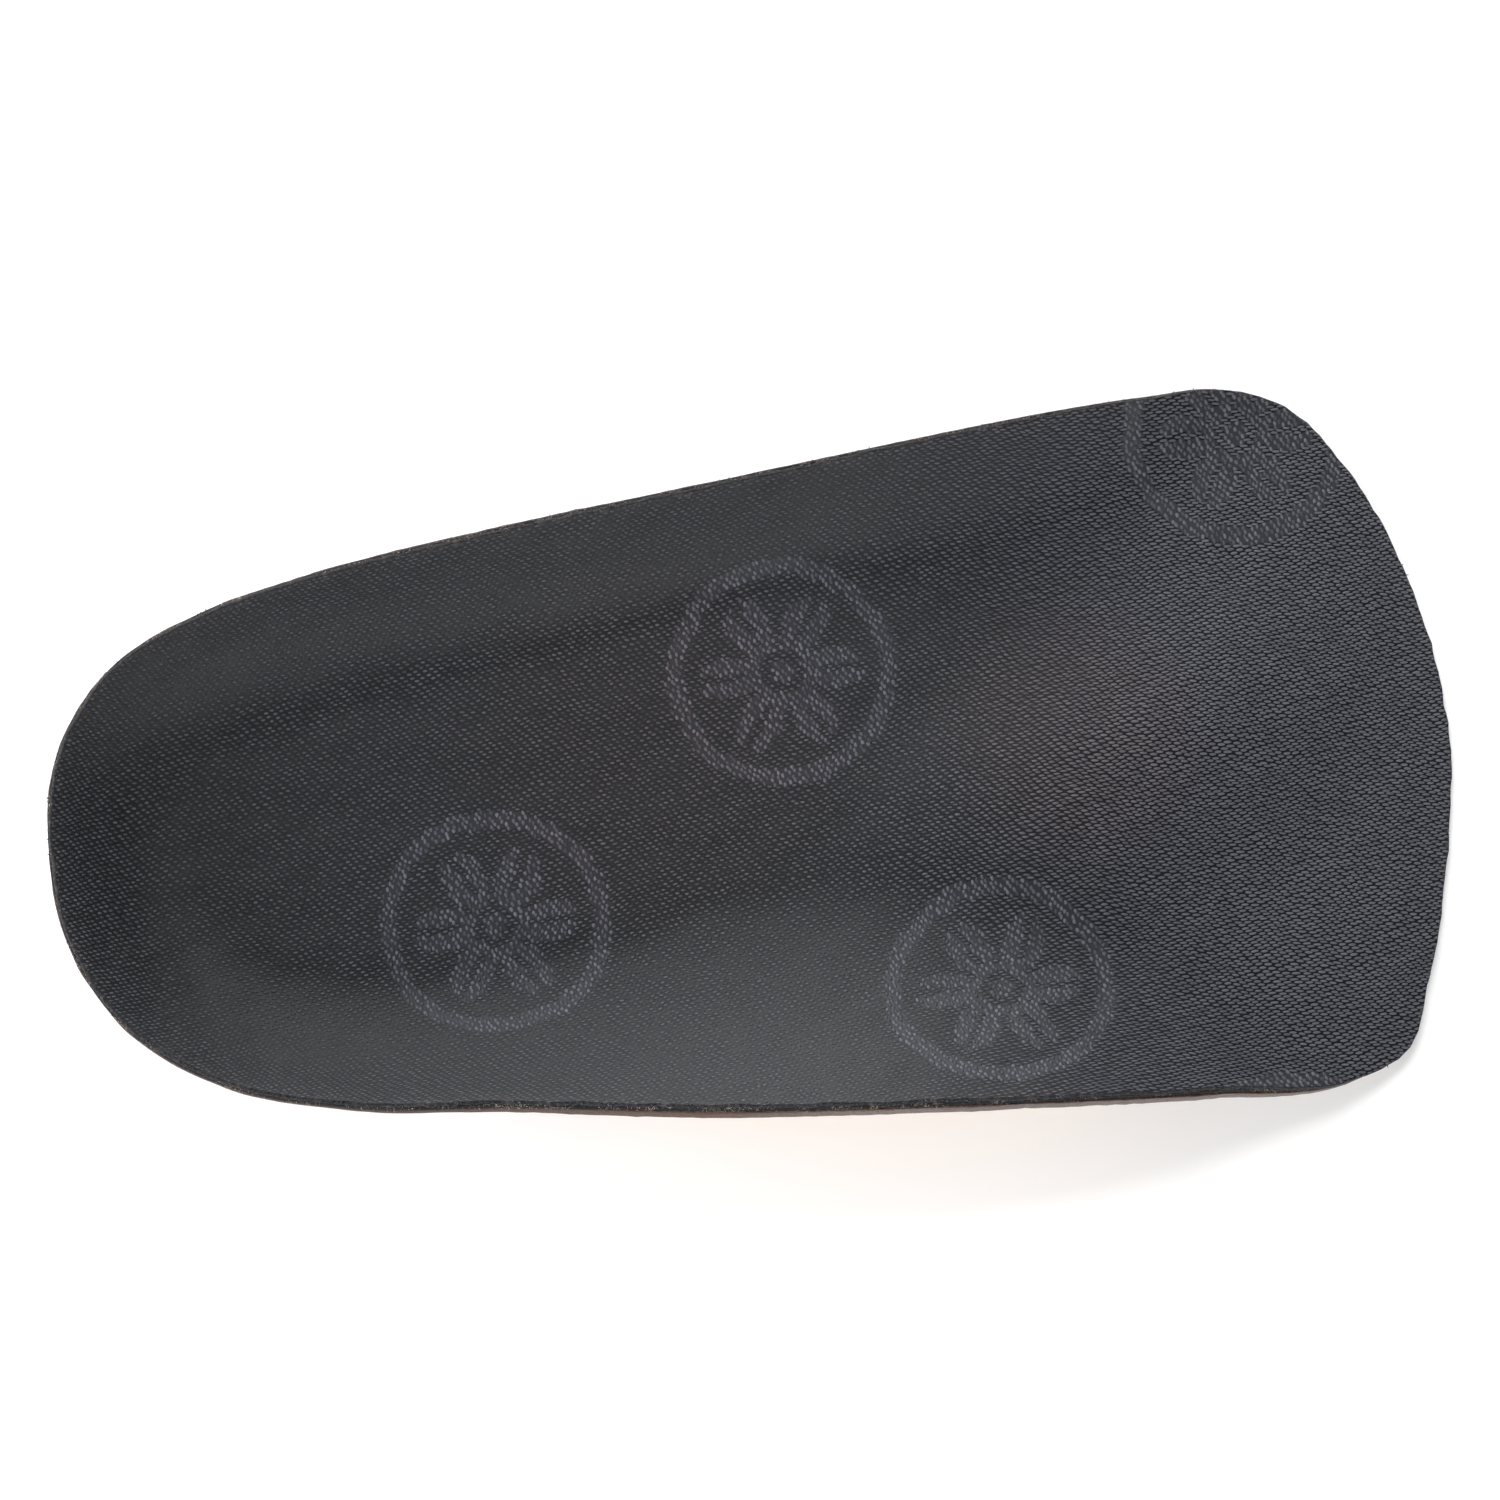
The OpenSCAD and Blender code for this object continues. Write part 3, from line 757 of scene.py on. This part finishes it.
# Heel post and its grip sheet
POST_TAPER = 0.96
POST_OVER = 6 * m  # stations that the post reaches past the heel on each side
post_low = np.stack([belly[..., 0] * POST_TAPER, belly[..., 1] * POST_TAPER,
                     np.full(belly.shape[:2], GRIP_T)], -1)
dress(patch_slab("post_foam", net, belly, post_low, 3 * per, net.K,
                 net.S - POST_OVER, net.S + HEEL_N * m + POST_OVER, 0.5),
      "heel_post",
      foam_material("post_foam", (0.030, 0.030, 0.034), (0.055, 0.055, 0.060), 0.5))


GRIP_TAPER, RIB_PITCH, RIB_H = 0.97, 2.4, 0.3


def grip_sheet():
    """Thin sheet with moulded wavy ribs on its underside."""
    cols = np.r_[np.arange(net.S - POST_OVER, net.S), np.arange(0, HEEL_N * m + POST_OVER + 1)]
    foot = belly[3 * per][cols][:, :2] * POST_TAPER * GRIP_TAPER
    centre = foot.mean(0)
    rings = np.r_[np.linspace(0, 0.985, 64), 1.0]
    pts = centre + (foot - centre)[None] * rings[:, None, None]
    x, y = pts[..., 0], pts[..., 1]
    wave = np.sin(2 * math.pi * (x + 1.1 * np.sin(2 * math.pi * y / 9.0)) / RIB_PITCH)
    fade = ease((1 - rings)[:, None] * 22)
    z = RIB_H * ease(0.5 - 0.9 * wave) * fade
    low = np.dstack([x, y, z])
    rim_mid = np.dstack([x[-1:], y[-1:], np.full((1, len(cols)), 0.15)])
    roof = np.dstack([x, y, np.full_like(x, GRIP_T)])
    inner = low[-1:] * [0.996, 0.996, 1]
    rows = np.concatenate([low[:-1], inner, rim_mid, roof[-1:], roof[:1]])
    R, C = rows.shape[:2]
    ids = np.arange(R * C).reshape(R, C)
    ids[0], ids[-1] = ids[0, 0], ids[-1, 0]
    nx = np.roll(ids, -1, 1)
    q = np.stack([ids[:-1], ids[1:], nx[1:], nx[:-1]], -1).reshape(-1, 4)
    v, f, at = compact(rows.reshape(-1, 3), q.tolist(), {"cloth": rows.reshape(-1, 3)})
    return new_mesh("grip_sole", v, f, at)


dress(grip_sheet(), "heel_grip",
      rubber_material("grip_rubber", (0.010, 0.010, 0.010), (0.022, 0.022, 0.023), 0.7))


# ---------------------------------------------------------------- frayed rim
def edge_points(count, seed, low, high):
    """Random places on the cover's cut edge, with the way out from each."""
    g = np.random.default_rng(seed)
    i = g.random(count) * net.S
    j, t = i.astype(int), (i % 1)[:, None]
    k = (j + 1) % net.S
    out = net.outward()
    mid0 = mix(top[0], under_cover[0], 0.5)
    depth = g.uniform(low, high, count)[:, None]
    p = mix(mid0[j], mid0[k], t) - net.up[0][j] * depth
    return g, p, mix(out[j], out[k], t), net.up[0][j], j


def thread_ends(name, count, seed, length, radius, spread, sides, segs, band, clump, out_by):
    """Loose ends along the cut rim, in mm.

    length is the least, the mean extra and the most, and band is how far down the rim they start.
    """
    g, p, out, up, j = edge_points(count, seed, *band)
    calm = 1 - 0.93 * ease((p[:, 0] - 112) / 16)
    chance = clip(0.5 + clump * ripple(loop_xy[j], seed + 5, 7.0)) * calm
    keep = g.random(count) < chance
    p, out, up, j = p[keep], out[keep], up[keep], j[keep]
    n = len(p)
    along = np.cross(up, out)
    way = out + along * g.normal(0, spread, (n, 1)) + up * g.normal(0.05, spread * 0.5, (n, 1))
    way /= np.linalg.norm(way, axis=1, keepdims=True)
    size = np.minimum(length[0] + g.exponential(length[1], n), length[2])
    rad = radius * g.uniform(0.75, 1.25, n)
    start = p + out * out_by
    return fibres(name, start, way, size, rad, g.normal(0, 0.25, n), sides, segs, seed + 9)


stubs = dress(thread_ends("edge_threads", 6500, 31, (0.12, 0.10, 0.5), 0.075, 0.6, 5, 3,
                          (-0.25, 0.75), 0.35, -0.04),
              None,
              thread_material("edge_thread", (0.012, 0.012, 0.015), (0.085, 0.088, 0.102)))
fuzz = dress(thread_ends("edge_fuzz", 4200, 41, (0.12, 0.14, 0.8), 0.022, 0.8, 3, 4,
                         (-0.3, 0.35), 0.5, 0.0),
             None,
             thread_material("edge_fuzz", (0.02, 0.02, 0.022), (0.11, 0.10, 0.10)))
dress(thread_ends("edge_fluff", 5200, 51, (0.10, 0.11, 0.5), 0.026, 0.9, 3, 3,
                  (0.15, 0.8), 0.9, 0.05),
      None, thread_material("edge_fluff", (0.25, 0.17, 0.12), (0.68, 0.58, 0.50)))


# ---------------------------------------------------------------- floor, light, camera
FLOOR_HALF = 3


def floor_plane():
    """Pale table, which glows faintly and fades to plain white away from the part."""
    T = Tree("stage_floor")
    at = T.place()
    colour = T.blend(T.noise(at, 6.0, 3.0), (0.91, 0.91, 0.91), (0.93, 0.93, 0.93))
    away = T.vector("LENGTH", at, out=1)
    mat = T.finish(Base_Color=colour, Roughness=0.9, Specular_IOR_Level=0.1,
                   Emission_Color=(1.0, 1.0, 1.0), Emission_Strength=T.span(away, 0.25, 0.9, 0.12, 1.0))
    me = bpy.data.meshes.new("floor")
    r = FLOOR_HALF
    me.from_pydata([(-r, -r, 0), (r, -r, 0), (r, r, 0), (-r, r, 0)], [], [(0, 1, 2, 3)])
    me.materials.append(mat)
    ob = bpy.data.objects.new("floor", me)
    bpy.context.scene.collection.objects.link(ob)


def area_light(name, at, target, power, shiny):
    data = bpy.data.lights.new(name, "AREA")
    data.shape, data.size, data.size_y, data.energy = "RECTANGLE", BOX_SIZE, BOX_SIZE, power
    ob = bpy.data.objects.new(name, data)
    way = Vector(target) - Vector(at)
    ob.matrix_world = Matrix.Translation(at) @ way.to_track_quat("-Z", "Y").to_matrix().to_4x4()
    ob.visible_glossy = shiny
    bpy.context.scene.collection.objects.link(ob)


floor_plane()
target = Vector((0.0561, 0.0064, 0.011))  # the point in the middle of the photograph
# Direction in degrees (round, up) and power of each soft box, a metre from the part. The strongest
# one is left out of reflections, so that it doesn't glare when the part is seen low from the front
BOX_SIZE, NO_GLARE = 0.5, 180
BOXES = ((180, 10, 27.0), (90, 10, 11.5), (90, 55, 7.0), (270, 10, 3.2), (315, 10, 4.8), (270, 30, 4.2))
for turn_deg, rise_deg, power in BOXES:
    turned, rise = math.radians(turn_deg), math.radians(rise_deg)
    level = math.cos(rise)
    way = Vector((math.cos(turned) * level, math.sin(turned) * level, math.sin(rise)))
    area_light(f"soft_box_{turn_deg}_{rise_deg}", target + way, target, power, turn_deg != NO_GLARE)

# A white world for the camera, and a dim one for light and reflections
world = bpy.data.worlds.new("studio")
world.use_nodes = True
wt = world.node_tree
seen = wt.nodes.new("ShaderNodeLightPath")
glow = wt.nodes.new("ShaderNodeMapRange")
glow.inputs["To Min"].default_value, glow.inputs["To Max"].default_value = 0.06, 1.0
wt.links.new(seen.outputs["Is Camera Ray"], glow.inputs[0])
wt.links.new(glow.outputs[0], wt.nodes["Background"].inputs[1])
wt.nodes["Background"].inputs[0].default_value = (1, 1, 1, 1)
bpy.context.scene.world = world

# The photograph's viewing angle and distance
tilt, pitch, roll, away = math.radians(8.0), math.radians(-0.76), math.radians(5.82), 0.76
back = Vector((math.sin(pitch), -math.sin(tilt), 0))
back.z = math.sqrt(1 - back.length_squared)
right = (Vector((1, 0, 0)) - back * back.x).normalized()
upward = back.cross(right)
right, upward = (right * math.cos(roll) - upward * math.sin(roll),
                 right * math.sin(roll) + upward * math.cos(roll))
camera = bpy.data.cameras.new("camera")
camera.lens, camera.sensor_width = 144.56, 36
camera.clip_start, camera.clip_end = 0.05, 20
cam = bpy.data.objects.new("camera", camera)
place = Matrix((right, upward, back)).transposed().to_4x4()
cam.matrix_world = Matrix.Translation(target + back * away) @ place
bpy.context.scene.collection.objects.link(cam)
bpy.context.scene.camera = cam
bpy.context.scene.view_settings.view_transform = "Standard"
